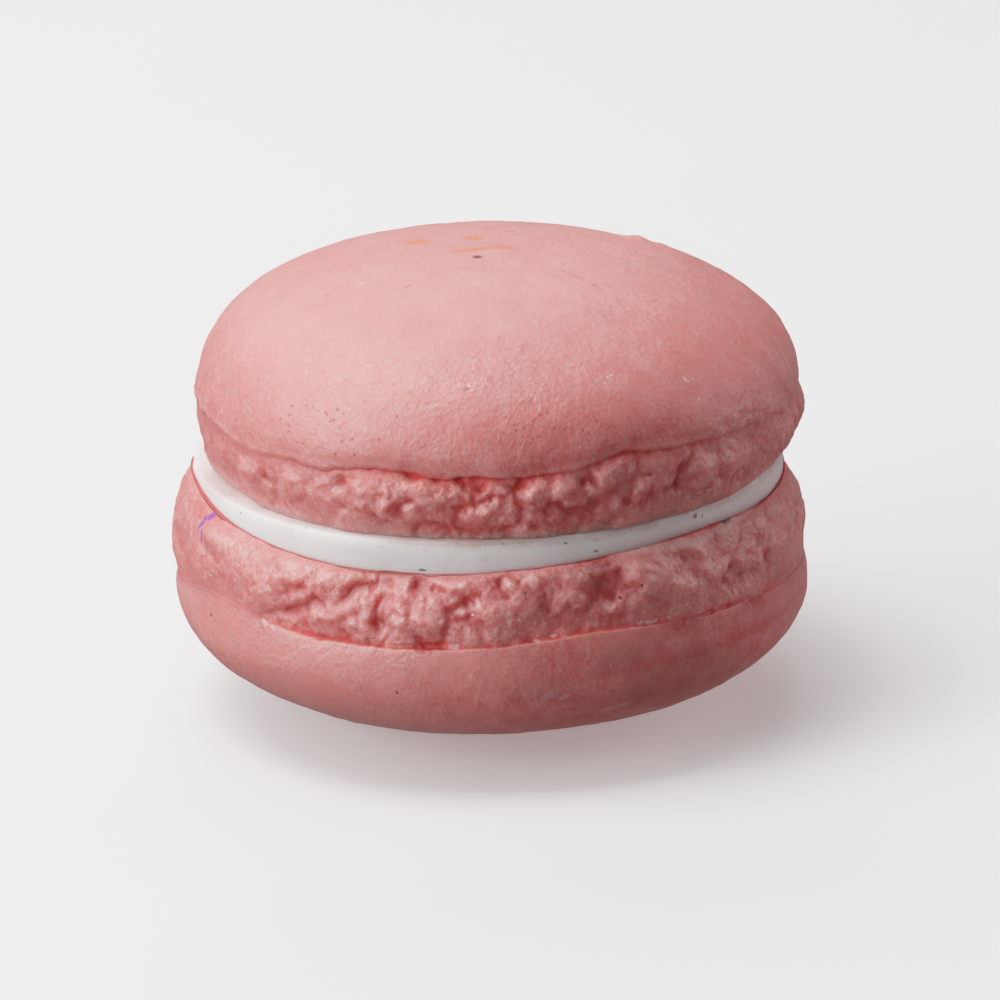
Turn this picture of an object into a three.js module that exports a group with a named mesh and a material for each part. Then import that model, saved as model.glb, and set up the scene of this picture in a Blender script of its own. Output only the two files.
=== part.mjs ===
// A French macaron: two almond shells with craggy feet, and a level disc of filling between them.
// Millimetres, +Z up. The origin is the middle of the flat spot on which the macaron rests.
// A bearing is the angle round the vertical axis: 0 at the front (-Y), positive towards +X.

import * as THREE from 'three';
import { mergeVertices } from 'three/addons/utils/BufferGeometryUtils.js';

// ---------------------------------------------------------------- driving dimensions

const COLUMNS = 132; // facets round each piece

const SEAT_HEIGHT = 14.7; // level where the filling lies on the lower shell
const LID_HEIGHT = 16.85; // level where the upper shell lies on the filling

// Lower shell: a smooth bowl-shaped skin, the foot that rises from it, and a ledge for the filling.
const BOWL = { radius: 21.25, equator: 8.1, depth: 8.4, power: 2.06, rows: 8, tilt: -0.65 };
const BOWL_LIP = { inset: 0.2, waist: 0.55, height: 10.2, thickness: 0.25 };
const LOWER_FOOT = { low: 20.6, high: 20.4, bulge: 0.25, setBack: 0.35, rows: 6 };
const LEDGE = { height: 14.7, collar: 19.85, collarHeight: 15.2, seat: 19.5 };

// Filling: a disc with a rounded edge, fuller at the bottom.
const FILLING = { bottom: 19.3, top: 19.2, edge: 19.65, round: 0.6, rows: 4, wander: 0.12 };

// Upper shell: its foot, a rim that overhangs it, and the dome. It sits a little to the right.
const UPPER_SHIFT = 0.85;
const UPPER_FOOT = { face: 18.8, low: 19.1, high: 19.75, bulge: 0.3, setBack: 0.6, rows: 6 };
const UNDERSIDE_CLEARANCE = 0.1; // between the filling and the lowest ring of the upper foot
const RIM = { height: 21.2, thickness: 0.25, fading: 0.5, curl: 0.45, curlHeight: 0.85 };
const DOME = { radius: 20, equator: 21.2, height: 9.1, power: 2.3, rows: 9, tilt: -2 };

// Relief of the feet. Crumb is the size of the finest lumps, in millimetres.
const CRUMB = { size: 2.4, relief: 0.3, seed: 11 };
const SKIN_SWELL = { size: 9, relief: 0.12, seed: 5 };
const DEEPEST = -1;
const PROUDEST = 0.45;

// Slow changes of level round the macaron: [bearing in degrees, half-width in degrees, rise in mm].
const BOWL_LIP_WAVES = [[-58, 14, 0.9], [18, 16, 0.6], [90, 30, -1.1], [-95, 22, -1.1], [160, 30, 0.5]];
const LEDGE_WAVES = [[-85, 30, 0.5], [-17, 18, -0.3], [45, 25, 0.25], [95, 25, -0.35], [-150, 40, 0.2]];
const COLLAR_WAVES = [[-80, 23, 1.4], [-17, 20, -0.5], [40, 22, 0.65], [150, 30, 0.3]];
const UPPER_FOOT_RISES = [[-66, 10, 0.45], [70, 15, 0.35]];
const RIM_WAVES_LEFT = [[-140, 25, 0.6], [-78, 16, 0.9], [-22, 8, 0.35]];
const RIM_WAVES_RIGHT = [[26, 13, 1], [52, 14, 0.5], [125, 25, 0.5]];
const RIM_WAVES = [...RIM_WAVES_LEFT, ...RIM_WAVES_RIGHT];

// How open the crease is between a foot and the smooth skin: 0 where they flow together.
const LIP_CREASE = [[-140, 32, 0.7], [-20, 22, 1], [14, 15, 0.5], [45, 14, 0.9], [150, 42, 0.7]];
const RIM_CREASE = [[-12, 22, 1], [31, 14, 0.45], [150, 45, 0.6], [-140, 35, 0.6]];

// Where a wall stands further out: the same three values, the last one outwards.
const BOWL_FULLNESS = [[60, 35, 0.5]];
const LOWER_BULGES = [[-90, 40, 0.25]];
const UPPER_BULGES = [[80, 38, 0.22], [87, 12, 0.25]];
const LEDGE_SETBACKS = [[-17, 22, -0.35], [88, 25, -0.4]];

// Crags of the feet: [bearing in degrees, height, half-length, half-width, turn in degrees, rise].
// A positive rise is a lump, a negative one a hollow.
const LOWER_CRAGS = [
  [-79, 12.5, 2.2, 0.7, 0, -0.4],
  [-60, 13.7, 2.6, 0.6, 0, -0.25],
  [-57, 14.8, 2.2, 0.9, 0, 0.2],
  [-35, 14, 3.6, 0.95, 8, 0.35],
  [-37, 11.9, 3.6, 0.65, 19, -0.4],
  [-23, 13.8, 2.3, 0.65, 26, -0.55],
  [-26, 11.8, 2.4, 1.15, 0, 0.5],
  [-19.3, 12.6, 2.1, 0.6, 90, -0.5],
  [-15, 13.1, 2.1, 0.6, 90, 0.45],
  [-11.8, 14.1, 1.2, 0.8, 0, -0.55],
  [-5, 13.2, 1.7, 0.7, 5, -0.6],
  [3, 13.8, 1.7, 0.8, 0, -0.4],
  [13, 13, 1.4, 0.9, 0, 0.4],
  [22, 13.5, 2.7, 1.1, 5, -0.65],
  [28, 14.2, 1, 0.6, 90, 0.5],
  [33.5, 13, 1.9, 1, -25, 0.4],
  [43, 12.9, 1.6, 1, -20, 0.45],
  [49, 11.8, 2, 1, -15, -0.5],
  [60, 12, 1.5, 0.8, 80, -0.35],
];
const UPPER_CRAGS = [
  [-57, 19.4, 1.9, 0.9, 0, 0.3],
  [-49, 19.3, 1.7, 0.7, 0, -0.3],
  [-31, 20.1, 1.4, 0.8, 40, -0.5],
  [-25, 20.1, 1.7, 0.9, 10, 0.4],
  [-20.5, 19.3, 1.6, 0.6, 90, 0.45],
  [-18, 19, 1.3, 0.6, 85, -0.5],
  [-11, 18.8, 2, 0.7, 0, -0.4],
  [-4, 20.5, 1.8, 0.7, 5, -0.7],
  [-5, 18.7, 1.9, 0.7, 15, 0.4],
  [4, 20.5, 1.7, 0.7, 0, -0.55],
  [12.5, 19.7, 1.1, 0.8, 0, 0.5],
  [10, 18.8, 1.8, 0.6, 0, -0.45],
  [20, 19.1, 2, 0.8, -30, 0.4],
  [27.5, 19.5, 1.4, 1, 0, 0.45],
  [35, 20.1, 1.8, 0.65, 48, -0.65],
  [43.5, 19.3, 1.2, 0.9, 0, -0.4],
];

// The rest of each foot has crags of the same kind, spread by a seeded draw.
const SPREAD = { crags: 24, from: 74, to: 262, turn: 70, lump: 0.35, hollow: -0.65 };
const SPREAD_SIZE = { longest: 2.4, shortest: 1.1, slimness: 0.45, narrowest: 0.6 };
const LOWER_SPREAD = { low: 11.5, high: 14, seed: 3 };
const UPPER_SPREAD = { low: 18, high: 20.6, seed: 8 };

// ---------------------------------------------------------------- seeded noise

const fade = (t) => t * t * (3 - 2 * t);
const mix = THREE.MathUtils.lerp;
const radians = THREE.MathUtils.degToRad;

// A whole-number hash of a lattice point, from 0 to 1.
function hash(i, j, k, seed) {
  let h = Math.imul(i, 374761393) + Math.imul(j, 668265263);
  h += Math.imul(k, 1274126177) + Math.imul(seed, 144269504);
  h = Math.imul(h ^ (h >>> 13), 1274126177);
  return ((h ^ (h >>> 16)) >>> 0) / 4294967296;
}

// Smooth value noise from -1 to 1, with lumps about as large as size.
function noise(x, y, z, { size, seed }) {
  const [i, j, k] = [x, y, z].map((v) => Math.floor(v / size));
  const [u, v, w] = [x / size - i, y / size - j, z / size - k].map(fade);
  const along = (dj, dk) => mix(hash(i, j + dj, k + dk, seed), hash(i + 1, j + dj, k + dk, seed), u);
  const value = mix(mix(along(0, 0), along(1, 0), v), mix(along(0, 1), along(1, 1), v), w);
  return 2 * value - 1;
}

// ---------------------------------------------------------------- relief

// The shorter way round from one bearing to another, in degrees.
const turnBetween = (from, to) => THREE.MathUtils.euclideanModulo(to - from + 180, 360) - 180;

// The sum of some waves at a bearing.
function wave(waves, bearing) {
  return waves.reduce((sum, [middle, width, rise]) => {
    const off = turnBetween(middle, bearing) / width;
    return sum + rise * Math.exp(-off * off);
  }, 0);
}

// How far one crag lifts or sinks the foot at a bearing and height.
function cragRelief([at, height, length, width, turn, rise], bearing, z, radius) {
  const across = radians(turnBetween(at, bearing)) * radius;
  const up = z - height;
  const c = Math.cos(radians(turn));
  const s = Math.sin(radians(turn));
  const q = ((across * c + up * s) / length) ** 2 + ((up * c - across * s) / width) ** 2;
  return q < 1 ? rise * (1 - q) ** 2 : 0;
}

// Crags for the sides and the back of a foot between two heights, alternately hollows and lumps.
function spreadCrags({ low, high, seed }) {
  return Array.from({ length: SPREAD.crags }, (_, n) => {
    const draw = (use) => hash(n, use, 0, seed);
    const length = mix(SPREAD_SIZE.shortest, SPREAD_SIZE.longest, draw(1));
    return [
      mix(SPREAD.from, SPREAD.to, (n + draw(2)) / SPREAD.crags),
      mix(low, high, draw(3)),
      length,
      Math.max(length * SPREAD_SIZE.slimness, SPREAD_SIZE.narrowest),
      SPREAD.turn * (draw(4) - 0.5),
      n % 2 ? SPREAD.lump : SPREAD.hollow,
    ];
  });
}

// The whole relief of a foot at a point.
function footRelief(crags, bearing, radius, z) {
  const x = radius * Math.sin(radians(bearing));
  const y = -radius * Math.cos(radians(bearing));
  const lumps = crags.reduce((sum, crag) => sum + cragRelief(crag, bearing, z, radius), 0);
  const relief = lumps + CRUMB.relief * noise(x, y, z, CRUMB);
  return THREE.MathUtils.clamp(relief, DEEPEST, PROUDEST);
}

// ---------------------------------------------------------------- turned pieces

// A superellipse's radius and rise at an angle from its equator (0) to its pole (90 degrees).
function superellipse({ radius, power }, rise, angle) {
  return [radius * Math.cos(angle) ** (2 / power), rise * Math.sin(angle) ** (2 / power)];
}

// Turns a profile round the vertical axis, then moves each ring's points.
// Each row is a function from a bearing to [radius, height]; the axis closes both ends.
function turnedGeometry(rows, bottom, top) {
  const ends = [new THREE.Vector2(0, bottom), new THREE.Vector2(0, top)];
  const middle = rows.map((row) => new THREE.Vector2(...row(0)));
  const geometry = new THREE.LatheGeometry([ends[0], ...middle, ends[1]], COLUMNS).rotateX(Math.PI / 2);
  const position = geometry.attributes.position;
  const count = rows.length + 2;
  for (let n = 0; n < position.count; n += 1) {
    const row = rows[(n % count) - 1];
    if (row) {
      const bearing = (360 * (Math.floor(n / count) % COLUMNS)) / COLUMNS;
      const [radius, height] = row(bearing);
      const angle = radians(bearing);
      position.setXYZ(n, radius * Math.sin(angle), -radius * Math.cos(angle), height);
    }
  }
  geometry.deleteAttribute('normal');
  geometry.deleteAttribute('uv');
  return mergeVertices(geometry).toNonIndexed();
}

// How much a skin leans: it rises or falls with the distance to the right.
const lean = (tilt, radius, bearing) => radius * Math.sin(radians(bearing)) * Math.tan(radians(tilt));

// A skin's slow swell, inwards only, so that the named radius is the largest.
function swell(radius, bearing, z) {
  const angle = radians(bearing);
  const value = noise(radius * Math.sin(angle), -radius * Math.cos(angle), z, SKIN_SWELL);
  return -SKIN_SWELL.relief * 0.5 * (1 + value);
}

// ---------------------------------------------------------------- lower shell

function lowerShell() {
  const crags = [...LOWER_CRAGS, ...spreadCrags(LOWER_SPREAD)];
  const flatAngle = Math.asin((BOWL.equator / BOWL.depth) ** (BOWL.power / 2));
  const lipHeight = (bearing) => BOWL_LIP.height + wave(BOWL_LIP_WAVES, bearing);
  const ledgeHeight = (bearing) => LEDGE.height + wave(LEDGE_WAVES, bearing);
  const rows = [];

  // The bowl, from the flat spot to its widest ring. The flat spot itself stays level.
  for (let n = 0; n < BOWL.rows; n += 1) {
    const share = n / (BOWL.rows - 1);
    const [plain, drop] = superellipse(BOWL, BOWL.depth, flatAngle * (1 - share));
    const level = BOWL.equator - drop;
    rows.push((bearing) => {
      const fullness = 4 * share * (1 - share) * wave(BOWL_FULLNESS, bearing);
      const radius = plain + share * swell(plain, bearing, level) + fullness;
      return [radius, Math.max(0, level + share * lean(BOWL.tilt, plain, bearing))];
    });
  }

  // Its upper edge: the wall leans in a little and ends in a thin lip. The swell fades out here.
  rows.push((bearing) => [
    BOWL.radius - BOWL_LIP.inset / 2 + (1 - BOWL_LIP.waist) * swell(BOWL.radius, bearing, BOWL.equator),
    mix(BOWL.equator, lipHeight(bearing), BOWL_LIP.waist),
  ]);
  rows.push((bearing) => [BOWL.radius - BOWL_LIP.inset, lipHeight(bearing) - BOWL_LIP.thickness / 2]);

  // The foot, set back behind the lip where the crease is open, and again under the ledge.
  for (let n = 0; n < LOWER_FOOT.rows; n += 1) {
    const share = n / (LOWER_FOOT.rows - 1);
    rows.push((bearing) => {
      const bulge = (LOWER_FOOT.bulge + wave(LOWER_BULGES, bearing)) * Math.sin(Math.PI * share);
      const plain = mix(LOWER_FOOT.low, LOWER_FOOT.high, share) + bulge;
      const cut = n === 0 ? LOWER_FOOT.setBack * wave(LIP_CREASE, bearing) : 0;
      const setBack = wave(LEDGE_SETBACKS, bearing) * share ** 4;
      const z = mix(lipHeight(bearing) + BOWL_LIP.thickness / 2, ledgeHeight(bearing), share);
      return [plain - cut + setBack + footRelief(crags, bearing, plain, z), z];
    });
  }

  // The ledge: a collar round the filling, then the level seat under it.
  rows.push((bearing) => [
    LEDGE.collar + wave(LEDGE_SETBACKS, bearing) / 2,
    Math.max(SEAT_HEIGHT, LEDGE.collarHeight + wave(COLLAR_WAVES, bearing)),
  ]);
  rows.push(() => [LEDGE.seat, SEAT_HEIGHT]);
  return turnedGeometry(rows, 0, SEAT_HEIGHT);
}

// ---------------------------------------------------------------- filling

function filling() {
  const rows = [() => [FILLING.bottom, SEAT_HEIGHT]];
  for (let n = 0; n < FILLING.rows; n += 1) {
    const angle = mix(-Math.PI / 2, Math.PI / 2, (n + 0.5) / FILLING.rows);
    const height = mix(SEAT_HEIGHT, LID_HEIGHT, (1 + Math.sin(angle)) / 2);
    const face = angle < 0 ? FILLING.bottom : FILLING.top;
    const reach = mix(face, FILLING.edge, Math.cos(angle) ** FILLING.round);
    rows.push((bearing) => {
      const x = reach * Math.sin(radians(bearing));
      const y = -reach * Math.cos(radians(bearing));
      return [reach - FILLING.wander * 0.5 * (1 + noise(x, y, 0, SKIN_SWELL)), height];
    });
  }
  rows.push(() => [FILLING.top, LID_HEIGHT]);
  return turnedGeometry(rows, SEAT_HEIGHT, LID_HEIGHT);
}

// ---------------------------------------------------------------- upper shell

function upperShell() {
  const crags = [...UPPER_CRAGS, ...spreadCrags(UPPER_SPREAD)];
  const rimHeight = (bearing) => RIM.height + wave(RIM_WAVES, bearing);
  const rows = [() => [UPPER_FOOT.face, LID_HEIGHT]];

  // The foot. It reaches further out over the filling at the right.
  for (let n = 0; n < UPPER_FOOT.rows; n += 1) {
    const share = n / (UPPER_FOOT.rows - 1);
    rows.push((bearing) => {
      const bulge = (UPPER_FOOT.bulge + wave(UPPER_BULGES, bearing)) * Math.sin(Math.PI * share);
      const plain = mix(UPPER_FOOT.low, UPPER_FOOT.high, share) + bulge;
      const cut = share === 1 ? UPPER_FOOT.setBack * wave(RIM_CREASE, bearing) : 0;
      const underside = LID_HEIGHT + UNDERSIDE_CLEARANCE + wave(UPPER_FOOT_RISES, bearing);
      const z = mix(underside, rimHeight(bearing) - RIM.thickness / 2, share);
      const relief = footRelief(crags, bearing, plain, z);
      return [plain - cut + (n === 0 ? relief / 2 : relief), z];
    });
  }

  // The dome, from its overhanging rim to the top. The rim's waves fade out up the dome, and its edge
  // curls in where the crease under it is open.
  for (let n = 0; n < DOME.rows; n += 1) {
    const share = n / DOME.rows;
    const [, rise] = superellipse(DOME, DOME.height, (share * Math.PI) / 2);
    const follow = Math.max(0, 1 - share / RIM.fading);
    rows.push((bearing) => {
      const raised = (rimHeight(bearing) + RIM.thickness / 2 - DOME.equator) * follow;
      const climb = rise + raised * (1 - rise / DOME.height);
      const up = Math.max(0, climb);
      const radius = DOME.radius * (1 - (up / DOME.height) ** DOME.power) ** (1 / DOME.power);
      const height = DOME.equator + climb;
      const tilted = height + (1 - follow) * lean(DOME.tilt, radius, bearing);
      const over = Math.max(0, height - rimHeight(bearing)) / RIM.curlHeight;
      const curl = RIM.curl * Math.min(1, wave(RIM_CREASE, bearing)) * Math.exp(-over);
      return [radius - curl + swell(radius, bearing, height), tilted];
    });
  }
  return turnedGeometry(rows, LID_HEIGHT, DOME.equator + DOME.height);
}

// ---------------------------------------------------------------- the macaron

function piece(name, geometry, color, roughness) {
  geometry.computeVertexNormals();
  const material = new THREE.MeshStandardMaterial({ color, roughness, metalness: 0, flatShading: true });
  const mesh = new THREE.Mesh(geometry, material);
  mesh.name = name;
  return mesh;
}

const PINK = 0xd98f8c;
const WHITE = 0xe6dfdd;

const macaron = new THREE.Group();
macaron.name = 'french_macaron';
const upper = piece('upper_shell', upperShell(), PINK, 0.55);
upper.position.x = UPPER_SHIFT;
macaron.add(piece('lower_shell', lowerShell(), PINK, 0.55));
macaron.add(piece('filling', filling(), WHITE, 0.45));
macaron.add(upper);

export default macaron;
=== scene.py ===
# A pink french macaron with a white filling, on a pale floor in soft studio light.
#
# Shapes are worked out in millimetres, in the part's own frame, and scaled to metres when a mesh is
# made. A bearing is the angle round the vertical axis in degrees: 0 at the front (-Y), positive
# towards +X. A wave is (bearing, half-width in degrees, rise in mm). A crag is (bearing, height,
# half-length, half-width, turn in degrees, rise in mm): a positive rise is a lump, a negative one a
# hollow.

import math

import bpy
import numpy as np
from mathutils import Matrix, Vector


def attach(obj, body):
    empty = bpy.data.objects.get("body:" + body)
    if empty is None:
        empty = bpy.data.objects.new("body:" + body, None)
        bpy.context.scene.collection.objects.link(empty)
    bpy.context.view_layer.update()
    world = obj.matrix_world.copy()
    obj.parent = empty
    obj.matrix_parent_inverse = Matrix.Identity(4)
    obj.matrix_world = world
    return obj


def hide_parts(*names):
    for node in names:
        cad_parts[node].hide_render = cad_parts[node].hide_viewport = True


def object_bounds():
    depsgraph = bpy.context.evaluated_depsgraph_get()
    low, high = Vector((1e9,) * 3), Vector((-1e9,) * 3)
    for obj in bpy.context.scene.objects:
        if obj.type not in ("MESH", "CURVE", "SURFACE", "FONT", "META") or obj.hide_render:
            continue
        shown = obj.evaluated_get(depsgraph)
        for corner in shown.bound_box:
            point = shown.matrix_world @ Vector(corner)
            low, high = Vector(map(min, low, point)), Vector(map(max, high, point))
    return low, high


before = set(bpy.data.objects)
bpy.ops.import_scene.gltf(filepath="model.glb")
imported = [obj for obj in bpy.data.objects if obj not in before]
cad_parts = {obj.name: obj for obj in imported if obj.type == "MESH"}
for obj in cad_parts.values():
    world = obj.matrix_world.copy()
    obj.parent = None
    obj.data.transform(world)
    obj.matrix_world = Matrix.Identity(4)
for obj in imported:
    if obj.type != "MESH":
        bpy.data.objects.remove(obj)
CAD_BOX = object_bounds()

MM = 0.001

# ---------------- sizes shared with the solids

SEAT_HEIGHT = 14.7
LID_HEIGHT = 16.85

BOWL_RADIUS, BOWL_EQUATOR, BOWL_DEPTH, BOWL_POWER, BOWL_TILT = 21.25, 8.1, 8.4, 2.06, -0.65
BOWL_LIP, BOWL_INSET = 10.2, 0.2
LOWER_FOOT_LOW, LOWER_FOOT_HIGH, LOWER_FOOT_BULGE = 20.6, 20.4, 0.25
LEDGE_HEIGHT, COLLAR_HEIGHT, COLLAR_RADIUS, SEAT_RADIUS = 14.7, 15.2, 19.85, 19.5

FILLING_FACE, FILLING_EDGE, FILLING_WANDER = 19.2, 19.65, 0.12

UPPER_SHIFT = 0.85
UPPER_FACE, UPPER_FOOT_LOW, UPPER_FOOT_HIGH, UPPER_FOOT_BULGE = 18.8, 19.1, 19.75, 0.3
RIM_HEIGHT = 21.2
DOME_RADIUS, DOME_EQUATOR, DOME_HEIGHT, DOME_POWER, DOME_TILT = 20.0, 21.2, 9.1, 2.3, -2.0

BOWL_LIP_WAVES = ((-58, 14, 0.9), (18, 16, 0.6), (90, 30, -1.1), (-95, 22, -1.1), (160, 30, 0.5))
LEDGE_WAVES = ((-85, 30, 0.5), (-17, 18, -0.3), (45, 25, 0.25), (95, 25, -0.35), (-150, 40, 0.2))
COLLAR_WAVES = ((-80, 23, 1.4), (-17, 20, -0.5), (40, 22, 0.65), (150, 30, 0.3))
RIM_WAVES = ((-78, 16, 0.9), (-22, 8, 0.35), (26, 13, 1), (52, 14, 0.5), (125, 25, 0.5), (-140, 25, 0.6))
BOWL_FULLNESS = ((60, 35, 0.5),)
LOWER_BULGES = ((-90, 40, 0.25),)
TOP_SETBACKS = ((-17, 22, 0.35), (88, 25, 0.4))
UPPER_BULGES = ((80, 38, 0.22), (87, 12, 0.25))
UPPER_FOOT_RISES = ((-66, 10, 0.45), (70, 15, 0.35))

LOWER_CRAGS = (
    (-79, 12.5, 2.2, 0.6, 0, -0.4),
    (-60, 13.7, 2.6, 0.5, 0, -0.25),
    (-57, 14.8, 2.2, 0.9, 0, 0.2),
    (-48, 12.8, 1.6, 0.7, -20, -0.15),
    (-35, 14, 3.6, 0.95, 8, 0.35),
    (-37, 11.9, 3.6, 0.55, 19, -0.4),
    (-23, 13.8, 2.2, 0.55, 26, -0.55),
    (-26, 11.8, 2.4, 1.15, 0, 0.5),
    (-19.3, 12.6, 2, 0.5, 90, -0.5),
    (-15, 13.1, 2.1, 0.5, 90, 0.45),
    (-11.8, 14.1, 1, 0.7, 0, -0.55),
    (-6.5, 14.3, 1.3, 0.6, 10, 0.35),
    (-5, 13.2, 1.5, 0.55, 5, -0.6),
    (-9, 12, 1.6, 0.8, 0, 0.3),
    (3, 13.8, 1.6, 0.7, 0, -0.4),
    (9, 14.5, 1.3, 0.6, 20, 0.35),
    (13, 13, 1.3, 0.8, 0, 0.4),
    (22, 13.5, 2.7, 1.1, 5, -0.65),
    (21, 12.2, 0.9, 0.7, 0, 0.5),
    (28, 14.2, 0.7, 0.45, 90, 0.5),
    (33.5, 13, 1.8, 1, -25, 0.4),
    (38, 14.6, 2.5, 0.45, -12, 0.3),
    (43, 12.9, 1.5, 0.9, -20, 0.45),
    (49, 11.8, 1.9, 0.9, -15, -0.5),
    (55, 12.2, 1.1, 0.6, 70, 0.35),
    (60, 12, 1.3, 0.7, 80, -0.35),
)
UPPER_CRAGS = (
    (-57, 19.4, 1.8, 0.9, 0, 0.3),
    (-49, 19.3, 1.6, 0.6, 0, -0.3),
    (-41, 20, 1.2, 0.7, 0, 0.25),
    (-31, 20.1, 1.2, 0.7, 40, -0.5),
    (-25, 20.1, 1.6, 0.9, 10, 0.4),
    (-27, 19, 2.2, 0.6, 0, 0.3),
    (-20.5, 19.3, 1.5, 0.5, 90, 0.45),
    (-18, 19, 1.2, 0.5, 85, -0.5),
    (-14.5, 20.4, 1.3, 0.7, 0, 0.4),
    (-11, 18.8, 2, 0.6, 0, -0.4),
    (-4, 20.5, 1.7, 0.65, 5, -0.7),
    (-5, 18.7, 1.8, 0.6, 15, 0.4),
    (4, 20.5, 1.6, 0.55, 0, -0.55),
    (8, 20.3, 0.8, 0.6, 0, 0.4),
    (12.5, 19.7, 1, 0.7, 0, 0.5),
    (10, 18.8, 1.8, 0.5, 0, -0.45),
    (16.5, 20.4, 0.6, 0.5, 0, -0.4),
    (18.7, 20.5, 0.7, 0.6, 0, 0.45),
    (20, 19.1, 2, 0.7, -30, 0.4),
    (27.5, 19.5, 1.3, 1, 0, 0.45),
    (35, 20.1, 1.7, 0.55, 48, -0.75),
    (32.5, 19.2, 0.9, 0.5, 0, -0.35),
    (39.5, 19.5, 1.1, 1, 30, 0.35),
    (43.5, 19.3, 1, 0.8, 0, -0.4),
    (50, 19.3, 1.6, 0.9, 20, 0.3),
)
# Crags of the sides and the back: lowest, highest and seed for each foot, then how they vary.
LOWER_SPREAD, UPPER_SPREAD = (11.5, 14, 3), (18, 20.6, 8)
SPREAD_COUNT, SPREAD_FROM, SPREAD_TO = 24, 74, 262
SPREAD_LONGEST, SPREAD_SHORTEST, SPREAD_SLIMNESS, SPREAD_TURN, SPREAD_RISE = 2.4, 1.1, 0.45, 70, 0.65

# What makes the crags' edges ragged, across and up: rise, size and seed.
CRAG_WANDER = ((0.6, 1.5, 21), (0.4, 0.65, 22), (0.2, 0.35, 25))
CRAG_DRIFT = ((0.4, 1.6, 23), (0.35, 0.7, 24), (0.15, 0.35, 26))

CRUMB_SIZE, CRUMB_RELIEF, CRUMB_SEED = 2.4, 0.3, 11
SWELL_SIZE, SWELL_RELIEF, SWELL_SEED = 9, 0.12, 5
UNDULATION_SIZE, UNDULATION_RELIEF = 3.4, 0.22
# Lumps of the feet: size, step between neighbours, crown, depth and half-width of the creases, seed.
LUMPS = (
    (2.6, 0.12, 0.3, 0.17, 0.18, 41),
    (1.2, 0.06, 0.13, 0.07, 0.12, 51),
    (0.6, 0.03, 0.08, 0.04, 0.07, 57),
)
# Crumbs and grains: size, rise and seed.
GRAINS = ((0.55, 0.06, 61), (0.3, 0.05, 62))
DEEPEST, PROUDEST = -1.0, 0.45
CRAG_DEPTH, FIELD_SMOOTHING = 0.8, 5
RIM_CURL, RIM_CURL_HEIGHT = 0.45, 0.85

# Marks of dirt and wear, with a few of painted shade and painted sheen: (bearing, radius, height,
# half-length, half-width, turn in degrees), by colour and strength. On the dome's top a turn of minus the
# bearing lies along X.
ORANGE, GREY, BROWN = (0.85, 0.2, 0.06, 1), (0.09, 0.075, 0.055, 1), (0.3, 0.1, 0.06, 1)
RED, WHITE, BLACK = (0.5, 0.04, 0.035, 1), (0.95, 0.82, 0.8, 1), (0.03, 0.025, 0.02, 1)
PURPLE, SLATE, OLIVE = (0.24, 0.07, 0.42, 1), (0.22, 0.22, 0.28, 1), (0.2, 0.18, 0.08, 1)
RUST = (0.42, 0.1, 0.06, 1)
DIRT = (BLACK, GREY, PURPLE, SLATE, ORANGE, BROWN)
UPPER_MARKS = (
    (ORANGE, 0.65, (
        (-119, 5.7, 30.2, 0.8, 0.9, 75), (-160, 3.6, 30.25, 0.7, 0.7, 170),
        (-91, 1.2, 30.3, 1.5, 0.45, 91), (125, 0.6, 30.3, 1, 0.5, -125),
    )),
    (BLACK, 0.85, ((-33, 1.9, 30.25, 0.34, 0.28, 25),)),
    (GREY, 0.75, ((28, 19.8, 20.25, 0.16, 0.14, 0),)),
    (RED, 0.5, (
        (49, 6.2, 29.8, 0.8, 0.1, 92), (47.5, 7.4, 29.6, 0.5, 0.1, 90),
        (47, 8.8, 29.4, 0.18, 0.25, 60), (56, 12.4, 28.4, 0.16, 0.14, 0),
        (52, 11.9, 28.5, 0.1, 0.1, 0), (-41, 8.5, 29.9, 0.13, 0.45, 0),
        (41, 1.8, 30.2, 0.1, 0.3, 0), (-6.4, 17.4, 26.1, 0.22, 0.2, 0),
        (-21, 18.9, 23.9, 0.12, 0.12, 0), (-43, 19, 23.8, 0.16, 0.14, 0),
    )),
    (BROWN, 0.5, (
        (167, 5.5, 30, 0.3, 0.3, -167), (-45, 13.2, 28.1, 0.1, 0.1, 0),
        (-62, 12, 28.7, 0.17, 0.13, 0), (-68, 13.4, 28.2, 0.14, 0.12, 0),
        (-30, 19.4, 22.9, 0.2, 0.1, 30), (12.7, 19.5, 18.3, 0.13, 0.12, 0),
        (38.3, 19.5, 17.8, 0.1, 0.1, 0), (41.5, 19.7, 18.3, 0.14, 0.08, 40),
        (41.3, 19.6, 18, 0.07, 0.07, 0),
    )),
    (WHITE, 0.55, (
        (-6, 17.3, 26.35, 0.13, 0.1, 0), (-60, 9.8, 29.3, 0.12, 0.18, 0),
        (53.6, 15.9, 26.9, 0.1, 0.12, 0), (40.4, 18.2, 25.3, 0.08, 0.2, 20),
        (40.9, 18.3, 25.1, 0.12, 0.07, 0), (41.3, 19.1, 24.1, 0.1, 0.1, 0),
        (22.4, 17.2, 26.35, 0.07, 0.07, 0), (23.3, 17.3, 26.2, 0.07, 0.1, 0),
        (24.4, 17.2, 26.3, 0.1, 0.06, 0),
    )),
    (WHITE, 0.08, (
        (72, 19.2, 24, 1.4, 0.3, 80), (69, 19.1, 24.6, 1, 0.2, 75), (75, 19.4, 23.2, 1, 0.3, 85),
        (24, 17.6, 25.9, 1.2, 0.8, 0), (33, 16.5, 26.8, 1, 0.8, 0),
    )),
)
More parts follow.
